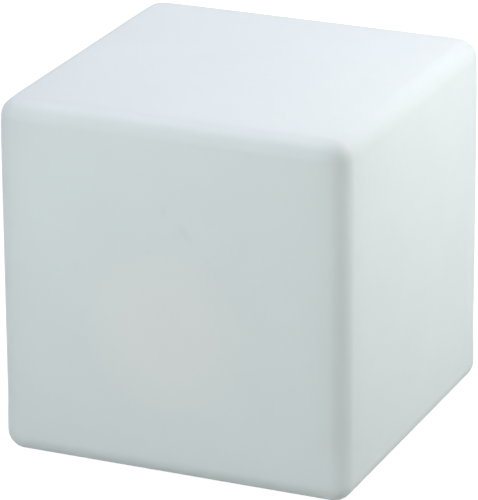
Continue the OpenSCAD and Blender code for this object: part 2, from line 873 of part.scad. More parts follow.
// Nickel strips across both ends of the pair, each with a tab for its lead
module cell_links() {
    color(nickel) for (side = [-1, 1]) {
        translate([side * (cell_len + link_t) / 2, 0, 0]) {
            translate([0, pack_y, 0])
                slab([link_t, cell_d + cell_gap + link_h, link_h], cell_z - link_h / 2);
            translate([0, cell_ys[0], 0])
                slab([link_t, link_tab_w, cell_r + link_tab_rise], cell_z);
        }
    }
}

// Bar along the valley between the cells, screwed to the two posts
module battery_clamp() {
    clamp_len = 2 * clamp_post_x + clamp_post_d;
    color(moulding_black) difference() {
        translate([0, pack_y, 0]) slab([clamp_len, clamp_w, clamp_top_z - clamp_z], clamp_z);
        cell_bars(cell_fit, cell_len + 2 * (link_t + cell_fit));
        at_clamp_posts() post(small_screw_d / 2 + hole_gap, clamp_z - eps, clamp_top_z + eps);
    }
}

module clamp_screws() {
    clamp_t = clamp_top_z - clamp_z;
    color(steel) at_clamp_posts() screw_from_above(clamp_top_z, small_screw_d, clamp_t + screw_bite);
}

module control_board() {
    color(board_green) difference() {
        translate([board_left, controls_y - board_d / 2, board_z]) cube([board_w, board_d, pcb_t]);
        at_board_screws() post(board_screw_d / 2 + hole_gap, board_z - eps, board_top_z + eps);
    }
}

// Parts soldered to the board, placed from its middle, and the indicator LED under it
module board_parts() {
    led_r = 1.5;
    led_len = 4.6;
    color(moulding_black) {
        translate([board_x, controls_y, 0]) {
            for (block = [driver_chip, charge_chip, shunt, inductor]) {
                translate(block[0]) slab(block[1], board_top_z);
            }
            translate(capacitor_place) post(capacitor_r, board_top_z, board_top_z + capacitor_h);
        }
        translate([0, controls_y, 0]) {
            post(led_r, board_z - led_len + led_r, board_z);
            translate([0, 0, board_z - led_len + led_r]) sphere(led_r);
        }
    }
}

module lead_connectors() {
    color(board_white) for (i = [0 : connector_count - 1]) {
        translate([connector_x(i), connector_y, 0]) slab(connector_size, board_top_z);
    }
}

module board_screws() {
    color(steel) at_board_screws() screw_from_above(board_top_z, board_screw_d, pcb_t + screw_bite);
}

// Tops of the cell links' tabs, of the socket's terminals and of the connectors, where leads end
function link_point(side) = [side * (cell_len + link_t) / 2, cell_ys[0], cell_z + cell_r + link_tab_rise];
function socket_point(y) = [jack_x, controls_y + y, jack_back_z + jack_lug.z];
function connector_point(i, side) = [connector_x(i) + side * lead_spread, connector_y, connector_top_z];

module positive_leads() {
    color(wire_red) {
        lead(link_point(1), connector_point(0, 1), lead_rise, lead_rise, lead_d);
        lead(socket_point(0), connector_point(2, 1), lead_rise, lead_rise, lead_d);
    }
}

module negative_leads() {
    color(moulding_black) {
        lead(link_point(-1), connector_point(0, -1), lead_rise, lead_rise, lead_d);
        lead(socket_point(jack_lug_y), connector_point(2, -1), lead_rise, lead_rise, lead_d);
    }
}

// Sheathed lead up through the deck to the underside of the LED board
module led_lead() {
    end = [0, led_lead_y, deck_top_z];
    color(wire_grey) lead(connector_point(1, 0), end, lead_rise, -lead_rise, led_lead_d);
}

module deck_plate() {
    color(aluminium) difference() {
        post(deck_r, deck_z, deck_top_z);
        around(deck_screw_count, deck_boss_ring_r)
            post(small_screw_d / 2 + hole_gap, deck_z - eps, deck_top_z + eps);
        around(led_screw_count, led_screw_ring_r)
            post(small_screw_d / 2 + thread_gap, deck_z - eps, deck_top_z + eps);
        translate([0, led_lead_y, 0]) post(led_lead_hole_r, deck_z - eps, deck_top_z + eps);
    }
}

module deck_screws() {
    color(steel) around(deck_screw_count, deck_boss_ring_r)
        screw_from_above(deck_top_z, small_screw_d, deck_t + screw_bite);
}

module led_board() {
    color(board_white) difference() {
        post(led_board_r, deck_top_z, led_board_top_z);
        around(led_screw_count, led_screw_ring_r)
            post(small_screw_d / 2 + hole_gap, deck_top_z - eps, led_board_top_z + eps);
    }
}

module led_chip() {
    led_top_z = led_board_top_z + led_h;
    difference() {
        slab([led_w, led_w, led_h], led_board_top_z);
        post(led_w * phosphor_share / 2, led_top_z - phosphor_sink, led_top_z + eps);
    }
}

module led_chips() {
    color(phosphor_yellow) {
        around(outer_leds, outer_led_r) led_chip();
        around(inner_leds, inner_led_r) led_chip();
    }
}

module led_board_screws() {
    color(steel) around(led_screw_count, led_screw_ring_r)
        screw_from_above(led_board_top_z, small_screw_d, pcb_t + deck_t);
}

module dome_seal() {
    color(silicone_white) ring(rim_r + snap_fit, cup_r, dome_shelf_z, skirt_z);
}

// Skirt with a snap groove, rounded shoulder and shallow cap, as one section turned about Z
module diffuser_dome() {
    skirt_inner_r = cup_r - dome_wall;
    inner_shoulder_r = dome_shoulder_r - dome_wall;
    color(frosted_white) rotate_extrude() polygon(concat(
        [[skirt_inner_r, skirt_z], [cup_r, skirt_z]],
        arc(shoulder_centre, dome_shoulder_r, 0, dome_blend_angle),
        arc(cap_centre, cap_r, dome_blend_angle, 90, 1),
        arc(cap_centre, cap_r - dome_wall, 90, dome_blend_angle),
        arc(shoulder_centre, inner_shoulder_r, dome_blend_angle, 0, 1),
        [
            [skirt_inner_r, snap_z + snap_half_w],
            [skirt_inner_r + snap_h, snap_z],
            [skirt_inner_r, snap_z - snap_half_w]
        ]
    ));
}

shell();
threaded_inserts();
feet();
module_housing();
flange_gasket();
screw_washers();
flange_screws();
power_button();
switch_plunger();
switch_body();
button_seal();
indicator_lens();
charge_socket();
charge_pin();
socket_nut();
port_flap();
flap_pin();
battery_cradle();
battery_cells();
cell_links();
battery_clamp();
clamp_screws();
control_board();
board_parts();
lead_connectors();
board_screws();
positive_leads();
negative_leads();
led_lead();
deck_plate();
deck_screws();
led_board();
led_chips();
led_board_screws();
dome_seal();
diffuser_dome();
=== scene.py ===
import json
import math

import bmesh
import bpy
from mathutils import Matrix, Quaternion, Vector, geometry, noise


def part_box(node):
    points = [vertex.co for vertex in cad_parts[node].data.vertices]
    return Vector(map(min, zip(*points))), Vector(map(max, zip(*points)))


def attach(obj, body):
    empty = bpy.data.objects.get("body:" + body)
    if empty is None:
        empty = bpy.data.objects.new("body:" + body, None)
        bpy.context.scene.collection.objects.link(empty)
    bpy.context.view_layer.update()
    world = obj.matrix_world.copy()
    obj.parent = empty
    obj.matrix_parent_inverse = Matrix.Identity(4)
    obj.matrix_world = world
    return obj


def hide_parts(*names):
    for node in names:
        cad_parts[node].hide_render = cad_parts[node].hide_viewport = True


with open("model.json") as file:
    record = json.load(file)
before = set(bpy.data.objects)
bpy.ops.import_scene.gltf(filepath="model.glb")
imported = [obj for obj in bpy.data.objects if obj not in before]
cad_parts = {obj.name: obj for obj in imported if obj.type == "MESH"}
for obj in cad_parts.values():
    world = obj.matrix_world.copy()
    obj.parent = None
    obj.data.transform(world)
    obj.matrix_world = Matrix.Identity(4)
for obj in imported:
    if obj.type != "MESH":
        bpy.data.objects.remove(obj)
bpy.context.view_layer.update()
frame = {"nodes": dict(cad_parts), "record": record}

MM = 0.001
RECORD = frame["record"]
SLOTS = {part["node"]: part["material_slot"] for part in RECORD["subparts"]}
COLOURS = {m["slot"]: m["base_color"] for m in RECORD["materials"]}


def box_mm(node):
    """Lowest and highest corner of a CAD node, in millimetres."""
    return [[round(c / MM, 3) for c in corner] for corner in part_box(node)]


def middle(node):
    """Middle of a CAD node's box, seen from above, in millimetres."""
    low, high = box_mm(node)
    return tuple(round((a + b) / 2, 3) for a, b in zip(low[:2], high[:2]))


# The moulded shell, in millimetres: its reach comes from the CAD model, and its radii are those drawn there
(_, _, BASE_Z), (HALF, _, _) = box_mm("shell")
MIDDLE_Z = BASE_Z + HALF
EDGE_R = 22.0
WALL = 3.5
(_, _, CEILING_Z), (_, _, INSERT_TOP_Z) = box_mm("threaded_inserts")
CEILING_CENTRE = (84.0, 19.5)
CEILING_FILLET = 8.0
MOUTH_CENTRE = (103.161, 12.5)
MOUTH_FILLET = 10.0
DRAFT = 8.0
NECK_R = 58.5
SCREW_RING = 68.25
SCREWS = 6
INSERT_R = 4.05
BOSS_R = 7.5
BOSS_TOP_Z = 40.0

# Softness of the moulding: how low its edges lie under the true form, and how far in from them that starts
SOFTNESS = 1.0
SHOULDER = 24.0
# The panels' sink: its depth in the middle, and the depth, length and finer pitch of its waves
SINK = 0.5
WAVE = 0.28
RIPPLE = 0.05
WAVE_LENGTH = 150
RIPPLE_PITCH = 3.7

# Rubber feet: they end in their seats, and their dish is a profile of (radius, z) points
FOOT_R = 12.0
FOOT_EDGE = 1.4
FOOT_DISH = [(0, 0.6), (3.0, 0.6), (3.6, 0.45), (4.0, 0.1), (4.4, 0.0)]
FOOT_GROOVES = (6.0, 8.2)
_, (FEET_REACH, _, SEAT_Z) = box_mm("feet")
FOOT_POS = FEET_REACH - FOOT_R
SEAT_R = 12.3

# Ridge where the two halves of the mould met
PARTING_HALF = 174.0
PARTING_TURN = 16.0
PARTING_WIDTH = 0.9
PARTING_PROUD = 0.3
PARTING_ROOT = 0.2

# The controls under the base
BUTTON_PLACE = middle("button_seal")
JACK_PLACE = middle("charge_socket")
SIGN_R = 2.9
SIGN_GAP = 28
SIGN_BAR = (0.15, 0.7, 1.25)
SIGN_LINE = 0.7
SIGN_PROUD = 0.18
SIGN_INSET = 0.5
RIB_REACHES = (4.6, 3.4, 2.6)
RIB_FIRST = 4.0
RIB_PITCH = 2.2
RIB_WIDTH = 0.7
RIB_PROUD = 0.25
FLAP_Z = 18.3

# Fineness of the round forms
FILLET_STEPS = 7
ARC_STEPS = 12
FLAT_STEPS = 48
TURNS = 144
SMALL_TURNS = 40
FOOT_TURNS = 64
# Points this close, in metres, are one point, and edges this short are dropped
MERGE = 3e-6
SLIVER = 1e-7

# Camera, in degrees and metres: azimuth 0 is the front, and it grows to the right
CAMERA_AZIMUTH = 23.46
CAMERA_ELEVATION = 20.65
CAMERA_ROLL = -0.34
CAMERA_DISTANCE = 4.324
AIM_LEFT = 0.00615
AIM_DOWN = 0.00913
LENS = 287.0


def direction(azimuth, elevation):
    """Unit vector from the cube towards these angles, in degrees."""
    turn, lift = math.radians(azimuth), math.radians(elevation)
    return Vector((
        math.sin(turn) * math.cos(lift),
        -math.cos(turn) * math.cos(lift),
        math.sin(lift),
    ))


def make_camera():
    """The photograph's viewing angle and framing: aimed a little low and left of the cube's middle."""
    turn = math.radians(CAMERA_AZIMUTH)
    centre = Vector((0, 0, MIDDLE_Z * MM))
    back = direction(CAMERA_AZIMUTH, CAMERA_ELEVATION)
    right = Vector((math.cos(turn), math.sin(turn), 0))
    up = back.cross(right)
    data = bpy.data.cameras.new("camera")
    data.sensor_width = 36
    data.lens = LENS
    data.clip_start, data.clip_end = 0.1, 60
    camera = bpy.data.objects.new("camera", data)
    bpy.context.scene.collection.objects.link(camera)
    camera.location = centre + back * CAMERA_DISTANCE
    aim = centre - right * AIM_LEFT - up * AIM_DOWN
    look = (aim - camera.location).to_track_quat("-Z", "Y")
    camera.rotation_mode = "QUATERNION"
    camera.rotation_quaternion = look @ Quaternion((0, 0, 1), math.radians(CAMERA_ROLL))
    bpy.context.scene.camera = camera


make_camera()


# Node trees
class Nodes:
    """Short way to write a node tree."""

    def __init__(self, tree):
        self.tree = tree
        self.coords = self.add("ShaderNodeTexCoord").outputs
        self.place = self.coords["Object"]

    def add(self, kind, options=None, **inputs):
        """Node of that kind, with its options set, and its inputs set or linked by name."""
        node = self.tree.nodes.new(kind)
        for key, value in (options or {}).items():
            setattr(node, key, value)
        for key, value in inputs.items():
            self.put(node.inputs[key.replace("_", " ")], value)
        return node

    def put(self, socket, value):
        """Link a socket to the input, or set the input to a value."""
        if isinstance(value, bpy.types.NodeSocket):
            self.tree.links.new(value, socket)
        else:
            socket.default_value = value

    def math(self, kind, a, b=0.0):
        node = self.add("ShaderNodeMath", {"operation": kind})
        for socket, value in zip(node.inputs, (a, b)):
            self.put(socket, value)
        return node.outputs[0]

    def axes(self, vector):
        """The X, Y and Z of a vector."""
        return self.add("ShaderNodeSeparateXYZ", Vector=vector).outputs

    def map_range(self, value, at, to=(0.0, 1.0), kind="LINEAR"):
        """Number that goes through to as value goes through at."""
        node = self.add(
            "ShaderNodeMapRange", {"interpolation_type": kind},
            Value=value, From_Min=at[0], From_Max=at[1], To_Min=to[0], To_Max=to[1],
        )
        return node.outputs["Result"]

    def mix(self, fac, low, high):
        """Colour between low and high, each a colour or a socket."""
        node = self.add("ShaderNodeMix", {"data_type": "RGBA"})
        self.put(node.inputs[0], fac)
        for socket, colour in ((node.inputs[6], low), (node.inputs[7], high)):
            self.put(socket, colour if isinstance(colour, bpy.types.NodeSocket) else (*colour, 1))
        return node.outputs[2]

    def ramp(self, fac, low, high, at=(0.35, 0.65)):
        """Colour or number that goes from low to high as fac goes through at."""
        if isinstance(low, (int, float)):
            return self.map_range(fac, at, (low, high))
        return self.mix(self.map_range(fac, at), low, high)

    def noise(self, scale, detail=2.0, rough=0.5, where=None):
        """Noise of about scale millimetres, from 0 to 1."""
        node = self.add("ShaderNodeTexNoise", Vector=where or self.place,
                        Scale=1 / (scale * MM), Detail=detail, Roughness=rough)
        return node.outputs["Fac"]

    def stretched(self, scale):
        """Place in the object, with each axis multiplied by its part of scale."""
        node = self.add("ShaderNodeVectorMath", {"operation": "MULTIPLY"})
        self.put(node.inputs[0], self.place)
        self.put(node.inputs[1], scale)
        return node.outputs[0]

    def bump(self, height, distance, below=None):
        """Normal that height raises by up to distance, in millimetres, over the normal below."""
        node = self.add("ShaderNodeBump", Height=height, Distance=distance * MM)
        if below is not None:
            self.put(node.inputs["Normal"], below)
        return node.outputs["Normal"]


class Surface(Nodes):
    """Material with one principled shader."""

    def __init__(self, name):
        self.material = bpy.data.materials.new(name)
        self.material.use_nodes = True
        super().__init__(self.material.node_tree)
        self.shader = self.tree.nodes["Principled BSDF"]

    def finish(self, **inputs):
        for key, value in inputs.items():
            self.put(self.shader.inputs[key.replace("_", " ")], value)
        return self.material


# Materials: every size in them is in millimetres, but for the scattering depths, which are in metres
SHELL_COLOUR = (0.80, 0.86, 0.875)
TONE_PATCHES = 90
GLOSS_PATCHES = 14
PEEL = (2.6, 0.03)
FINE_GRAIN = (0.5, 0.006)
EVEN_DEPTH = (1, 1, 1)

# On the front panel: a faint warm glow of painted light, lighter in its middle, and rub marks by place, slope
# in degrees, size and strength
PAINTED_GLOW_COLOUR = (0.87, 0.878, 0.886)
PAINTED_GLOW_AT = (-5, 168)
PAINTED_GLOW_SIZE = (210, 210)
RUB_TONE = 0.93
RUBS = (
    ((-5, 304), 75, (18, 10), 0.4),
    ((19, 283), 48, (34, 12), 0.45),
    ((47, 252), 52, (50, 5), 0.22),
    ((-23, 257), 20, (10, 9), 0.35),
    ((-108, 230), 80, (18, 9), 0.2),
)
SPOT_DEPTH = 20


def shade(colour, by):
    """The colour, that much darker or lighter."""
    return tuple(min(1.0, c * by) for c in colour)


def spot(n, at, size, slope=0):
    """1 at a place on the front panel, fading to 0 at the edge of a sloping ellipse of that size."""
    place = n.add(
        "ShaderNodeMapping", {"vector_type": "TEXTURE"},
        Vector=n.place,
        Location=(at[0] * MM, -HALF * MM, at[1] * MM),
        Rotation=(0, math.radians(slope), 0),
        Scale=(size[0] / 2 * MM, SPOT_DEPTH * MM, size[1] / 2 * MM),
    )
    ball = n.add("ShaderNodeTexGradient", {"gradient_type": "SPHERICAL"}, Vector=place.outputs[0])
    return ball.outputs["Fac"]


def shell_plastic(slot):
    """Milky moulded polyethylene: satin and a little translucent, with a faint orange peel, rub marks and a
    painted glow of light on the front panel.
    """
    n = Surface(slot)
    colour = n.ramp(n.noise(TONE_PATCHES, 3), shade(SHELL_COLOUR, 0.985), SHELL_COLOUR)
    # Painted light: a faint warm glow, lighter than the shell, in the middle of the front panel
    painted_glow = n.ramp(spot(n, PAINTED_GLOW_AT, PAINTED_GLOW_SIZE), 0.0, 1.0, (0.0, 0.6))
    colour = n.mix(painted_glow, colour, PAINTED_GLOW_COLOUR)
    for at, slope, size, strength in RUBS:
        mark = n.ramp(spot(n, at, size, slope), 0.0, strength, (0.0, 0.8))
        colour = n.mix(mark, colour, shade(SHELL_COLOUR, RUB_TONE))
    peel = n.bump(n.noise(PEEL[0], 1.5), PEEL[1])
    return n.finish(
        Base_Color=colour,
        Roughness=n.ramp(n.noise(GLOSS_PATCHES, 4), 0.42, 0.50),
        Normal=n.bump(n.noise(FINE_GRAIN[0], 2), FINE_GRAIN[1], peel),
        Subsurface_Weight=0.7,
        Subsurface_Radius=EVEN_DEPTH,
        Subsurface_Scale=0.008,
    )


def moulded(slot, grain, depth, rough, tone=0.93, **more):
    """Moulded plastic with a fine grain of that size and depth, and patches as dark as tone."""
    n = Surface(slot)
    base = COLOURS[slot]
    return n.finish(
        Base_Color=n.ramp(n.noise(25, 3), shade(base, tone), base),
        Roughness=n.ramp(n.noise(5, 4), *rough),
        Normal=n.bump(n.noise(grain, 3), depth),
        **more,
    )


def milky(slot, grain, rough, weight, scatter):
    """Moulded plastic or silicone that scatters light inside."""
    return moulded(
        slot, grain, depth=0.01, rough=rough, tone=0.96,
        Subsurface_Weight=weight,
        Subsurface_Radius=EVEN_DEPTH,
        Subsurface_Scale=scatter,
    )


def rubber(slot, dust=0.03):
    """Matte rubber, paler by dust where dust lies in its grain."""
    n = Surface(slot)
    base = COLOURS[slot]
    patches = n.noise(6, 5, 0.65)
    dusty = tuple(c + dust for c in base)
    return n.finish(
        Base_Color=n.ramp(patches, base, dusty, (0.4, 0.75)),
        Roughness=n.ramp(patches, 0.62, 0.85),
        Normal=n.bump(n.noise(0.45, 3), 0.02),
        Sheen_Weight=0.15,
    )


def metal(slot, rough, stretch=(1, 1, 1)):
    """Metal with fine marks, drawn out along the axes that stretch makes small."""
    n = Surface(slot)
    base = COLOURS[slot]
    marks = n.noise(0.35, 4, 0.6, n.stretched(stretch))
    return n.finish(
        Base_Color=n.ramp(marks, shade(base, 0.94), base),
        Roughness=n.ramp(marks, *rough),
        Normal=n.bump(marks, 0.003),
        Metallic=1.0,
    )


def circuit_board(slot, trace_tone):
    """Solder mask over a net of raised copper traces."""
    n = Surface(slot)
    base = COLOURS[slot]
    net = n.add("ShaderNodeTexBrick", Vector=n.place, Scale=70.0, Mortar_Size=0.025)
    traces = net.outputs["Fac"]
    return n.finish(
        Base_Color=n.ramp(traces, base, shade(base, trace_tone), (0.2, 0.8)),
        Roughness=n.ramp(n.noise(1.5, 3), 0.28, 0.4),
        Normal=n.bump(traces, 0.03),
    )


def shrink_wrap(slot):
    """Glossy film, wrinkled across the cells where it shrank."""
    n = Surface(slot)
    base = COLOURS[slot]
    wrinkles = n.noise(1.6, 3, 0.6, n.stretched((1, 0.25, 0.25)))
    return n.finish(
        Base_Color=n.ramp(wrinkles, shade(base, 0.85), base),
        Roughness=n.ramp(n.noise(3, 3), 0.22, 0.34),
        Normal=n.bump(wrinkles, 0.05),
    )


MAKERS = {
    "shell_plastic": shell_plastic,
    "housing_plastic": lambda slot: moulded(slot, grain=0.5, depth=0.025, rough=(0.48, 0.6), tone=0.96),
    "black_plastic": lambda slot: moulded(slot, grain=0.6, depth=0.012, rough=(0.35, 0.48)),
    "frosted_plastic": lambda slot: milky(slot, grain=0.4, rough=(0.45, 0.55), weight=0.6, scatter=0.004),
    "silicone": lambda slot: milky(slot, grain=1.2, rough=(0.32, 0.45), weight=0.5, scatter=0.002),
    "foot_rubber": rubber,
    "button_rubber": lambda slot: rubber(slot, dust=0.015),
    "flap_rubber": rubber,
    "steel": lambda slot: metal(slot, rough=(0.22, 0.38)),
    "nickel": lambda slot: metal(slot, rough=(0.18, 0.3)),
    "brass": lambda slot: metal(slot, rough=(0.25, 0.4), stretch=(0.2, 0.2, 1)),
    "aluminium": lambda slot: metal(slot, rough=(0.28, 0.45), stretch=(0.06, 1, 1)),
    "board_green": lambda slot: circuit_board(slot, trace_tone=1.7),
    "board_white": lambda slot: circuit_board(slot, trace_tone=0.96),
    "phosphor": lambda slot: moulded(slot, grain=0.15, depth=0.01, rough=(0.3, 0.5), tone=0.85),
    "cell_wrap": shrink_wrap,
    "wire_red": lambda slot: moulded(slot, grain=0.8, depth=0.01, rough=(0.28, 0.38), tone=0.85),
    "wire_black": lambda slot: moulded(slot, grain=0.8, depth=0.01, rough=(0.3, 0.4)),
    "wire_grey": lambda slot: moulded(slot, grain=0.8, depth=0.01, rough=(0.38, 0.5)),
}
materials = {slot: MAKERS[slot](slot) for slot in COLOURS}

for name, node in frame["nodes"].items():
    node.data.materials.clear()
    node.data.materials.append(materials[SLOTS[name]])


# Meshes
def new_piece(name, verts, faces, body, slot, sharp=35):
    """A mesh object from points in millimetres, with its doubles merged, riding on a CAD body."""
    mesh = bpy.data.meshes.new(name)
    mesh.from_pydata([Vector(v) * MM for v in verts], [], faces)
    bm = bmesh.new()
    bm.from_mesh(mesh)
    bmesh.ops.remove_doubles(bm, verts=bm.verts, dist=MERGE)
    bmesh.ops.dissolve_degenerate(bm, edges=bm.edges, dist=SLIVER)
    bmesh.ops.recalc_face_normals(bm, faces=bm.faces)
    bm.to_mesh(mesh)
    bm.free()
    mesh.shade_smooth()
    mesh.set_sharp_from_angle(angle=math.radians(sharp))
    mesh.materials.append(materials[slot])
    piece = bpy.data.objects.new(name, mesh)
    bpy.context.scene.collection.objects.link(piece)
    weigh = piece.modifiers.new("normals", "WEIGHTED_NORMAL")
    weigh.keep_sharp = True
    weigh.weight = 80
    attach(piece, body)
    return piece


def circle(r, turns, first=0.0):
    """Points round a circle, from the angle first, in radians."""
    angles = [first + 2 * math.pi * k / turns for k in range(turns)]
    return [(r * math.cos(a), r * math.sin(a)) for a in angles]


def arc(centre, r, a0, a1, steps):
    """Points along an arc, from angle a0 to a1 in degrees."""
    turns = [math.radians(a0 + (a1 - a0) * i / steps) for i in range(steps + 1)]
    return [(centre[0] + r * math.cos(t), centre[1] + r * math.sin(t)) for t in turns]


class Skin:
    """Points and faces of one closed body, collected patch by patch."""

    def __init__(self):
        self.verts, self.faces = [], []

    def add(self, verts, faces):
        start = len(self.verts)
        self.verts += [tuple(v) for v in verts]
        self.faces += [tuple(start + i for i in f) for f in faces]

    def lathe(self, profile, turns=TURNS, at=(0, 0)):
        """Surface of revolution about Z through at, of (radius, z) points. A radius of 0 closes it."""
        verts = []
        for r, z in profile:
            verts += [(at[0] + x, at[1] + y, z) for x, y in circle(r, turns)]
        faces = []
        for i in range(len(profile) - 1):
            for k in range(turns):
                a, b = i * turns + k, i * turns + (k + 1) % turns
                faces.append((a, b, b + turns, a + turns))
        self.add(verts, faces)

    def sheet(self, z, outline, holes):
        """Flat sheet at height z inside outline, without its round holes (x, y, radius, turns)."""
        loops = [outline]
        for x, y, r, turns in holes:
            loops.append([(x + px, y + py) for px, py in circle(r, turns)])
        points, edges = [], []
        for loop in loops:
            start = len(points)
            points += loop
            edges += [(start + i, start + (i + 1) % len(loop)) for i in range(len(loop))]
        cut = geometry.delaunay_2d_cdt([Vector(p) for p in points], edges, [], 1, 1e-6)
        flat, triangles = cut[0], cut[2]
        kept = []
        for t in triangles:
            cx = sum(flat[i].x for i in t) / len(t)
            cy = sum(flat[i].y for i in t) / len(t)
            if not any(math.hypot(cx - x, cy - y) < r for x, y, r, turns in holes):
                kept.append(t)
        self.add([(p.x, p.y, z) for p in flat], kept)


def ribbon(path, section, closed=True):
    """Points and faces of a solid with that section (across, z), swept along a flat path of (x, y) points."""
    n, m = len(path), len(section)
    verts, faces = [], []
    for i, (x, y) in enumerate(path):
        before = path[i - 1] if closed or i else path[0]
        after = path[(i + 1) % n] if closed or i < n - 1 else path[-1]
        along = Vector((after[0] - before[0], after[1] - before[1])).normalized()
        verts += [(x + along.y * s, y - along.x * s, z) for s, z in section]
    for i in range(n if closed else n - 1):
        for k in range(m):
            a, b = i * m + k, i * m + (k + 1) % m
            faces.append((a, b, (b + m) % (n * m), (a + m) % (n * m)))
    if not closed:
        faces += [tuple(range(m)), tuple(range((n - 1) * m, n * m))]
    return verts, faces


# Shell
def smooth(t):
    """0 to 1 as t goes from 0 to 1, with soft ends."""
    return t * t * (3 - 2 * t)


def panel_sink(face, u, v, flat):
    """How far a panel lies inside the true flat: it shrinks in the middle and waves a little."""
    a, b = u / flat, v / flat
    if abs(a) >= 1 or abs(b) >= 1:
        return 0.0
    mask = ((1 - a * a) * (1 - b * b)) ** 1.5
    at = Vector((u / WAVE_LENGTH + 7 * face, v / WAVE_LENGTH, 3.1 * face))
    return mask * (SINK + WAVE * noise.noise(at) + RIPPLE * noise.noise(at * RIPPLE_PITCH))


def roll_off(u, flat, fillet):
    """How far along its roll towards the edge a panel is at u: 0 on the flat, 1 half-way round the edge."""
    over = abs(u) - flat
    along = over if over < 0 else fillet * math.atan(over / fillet)
    return smooth(max(0.0, (along + SHOULDER) / (fillet * math.pi / 4 + SHOULDER)))


def shoulder_sink(u, v, z, flat, fillet):
    """How far the soft shoulders beside the side and top edges lie inside the true form."""
    rise = max(0.0, min(1.0, (z + flat) / (2 * SHOULDER)))
    return SOFTNESS * smooth(rise) * (roll_off(u, flat, fillet) + roll_off(v, flat, fillet))


def grid_lines(flat, fillet):
    """Grid lines on each side of a rounded cube: even on the flat, and even in angle round the edges."""
    steps = range(1, FILLET_STEPS + 1)
    bend = [fillet * math.tan(math.radians(45 * i / FILLET_STEPS)) for i in steps]
    even = [flat * (2 * i / FLAT_STEPS - 1) for i in range(FLAT_STEPS + 1)]
    return [-flat - b for b in reversed(bend)] + even + [flat + b for b in bend]


def rounded_skin(skin, half, fillet, soft):
    """Outside of a rounded cube, open where its bottom is flat. A soft one has sunken panels."""
    flat = half - fillet
    lines = grid_lines(flat, fillet)
    n = len(lines)
    on_flat = range(FILLET_STEPS, n - 1 - FILLET_STEPS)
    bottom = 4
    for face in range(6):
        axis, side = face // 2, face % 2 * 2 - 1
        verts, faces = [], []
        for u in lines:
            for v in lines:
                p = [0, 0, 0]
                p[axis], p[(axis + 1) % 3], p[(axis + 2) % 3] = side * half, u, v
                inner = [max(-flat, min(flat, c)) for c in p]
                out = Vector([c - i for c, i in zip(p, inner)]).normalized()
                sink = 0.0
                if soft and face != bottom:
                    sink = panel_sink(face, u, v, flat)
                    sink += shoulder_sink(u, v, inner[2], flat, fillet)
                place = Vector(inner) + out * (fillet - sink)
                verts.append((place.x, place.y, place.z + MIDDLE_Z))
        for i in range(n - 1):
            for j in range(n - 1):
                if face == bottom and i in on_flat and j in on_flat:
                    continue
                a = i * n + j
                quad = (a, a + 1, a + n + 1, a + n)
                faces.append(quad if side > 0 else quad[:1] + quad[:0:-1])
        skin.add(verts, faces)


def square_loop(half):
    """Points round a square, at the spacing of the grid on the flat."""
    steps = [half * (2 * i / FLAT_STEPS - 1) for i in range(FLAT_STEPS)]
    return (
        [(s, -half) for s in steps] + [(half, s) for s in steps]
        + [(-s, half) for s in steps] + [(-half, -s) for s in steps]
    )


def shell_side(skin, inset, bore_r, bore_top_z):
    """One side of the shell's wall, with the feet's seats, the recess and the screws' bores.

    It is inset by 0 for the outside of the shell, and by a wall for its inside.
    """
    feet = [(x, y) for x in (-FOOT_POS, FOOT_POS) for y in (-FOOT_POS, FOOT_POS)]
    screws = circle(SCREW_RING, SCREWS)
    base_z, seat_z, ceiling_z = BASE_Z + inset, SEAT_Z + inset, CEILING_Z + inset
    seat_r = SEAT_R + inset
    mouth = (0, 0, MOUTH_CENTRE[0], TURNS)
    neck = (0, 0, NECK_R, TURNS)
    rounded_skin(skin, HALF - inset, EDGE_R - inset, inset == 0)
    seats = [(x, y, seat_r, SMALL_TURNS) for x, y in feet]
    skin.sheet(base_z, square_loop(HALF - EDGE_R), [mouth] + seats)
    for at in feet:
        skin.lathe([(seat_r, base_z), (seat_r, seat_z), (0, seat_z)], SMALL_TURNS, at)
    skin.lathe(
        arc(MOUTH_CENTRE, MOUTH_FILLET - inset, 270, 180 + DRAFT, ARC_STEPS)
        + arc(CEILING_CENTRE, CEILING_FILLET + inset, DRAFT, 90, ARC_STEPS)
    )
    bores = [(x, y, bore_r, SMALL_TURNS) for x, y in screws]
    skin.sheet(ceiling_z, circle(CEILING_CENTRE[0], TURNS), [neck] + bores)
    for at in screws:
        skin.lathe([(bore_r, ceiling_z), (bore_r, bore_top_z), (0, bore_top_z)], SMALL_TURNS, at)


def shell():
    """Hollow moulded cube: its outside, the neck's edge, and its inside, one wall away."""
    skin = Skin()
    shell_side(skin, 0, INSERT_R, INSERT_TOP_Z)
    skin.lathe([(NECK_R, CEILING_Z), (NECK_R, CEILING_Z + WALL)])
    shell_side(skin, WALL, BOSS_R, BOSS_TOP_Z)
    piece = new_piece("moulded_shell", skin.verts, skin.faces, "cube", "shell_plastic")
    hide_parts("shell")


# Pieces under the base
def feet():
    """Rubber feet with a rounded edge and a tread of two grooves round a shallow dish."""
    groove, slope, land = 0.45, 0.15, 0.5
    profile = list(FOOT_DISH)
    for r in FOOT_GROOVES:
        far = r + slope + land
        profile += [(r, 0.0), (r + slope, groove), (far, groove), (r + 2 * slope + land, 0.0)]
    profile += arc((FOOT_R - FOOT_EDGE, FOOT_EDGE), FOOT_EDGE, 270, 360, 6)
    profile += [(FOOT_R, SEAT_Z), (0, SEAT_Z)]
    skin = Skin()
    for x in (-FOOT_POS, FOOT_POS):
        for y in (-FOOT_POS, FOOT_POS):
            skin.lathe(profile, FOOT_TURNS, (x, y))
    piece = new_piece("rubber_feet", skin.verts, skin.faces, "cube", "foot_rubber")
    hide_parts("feet")


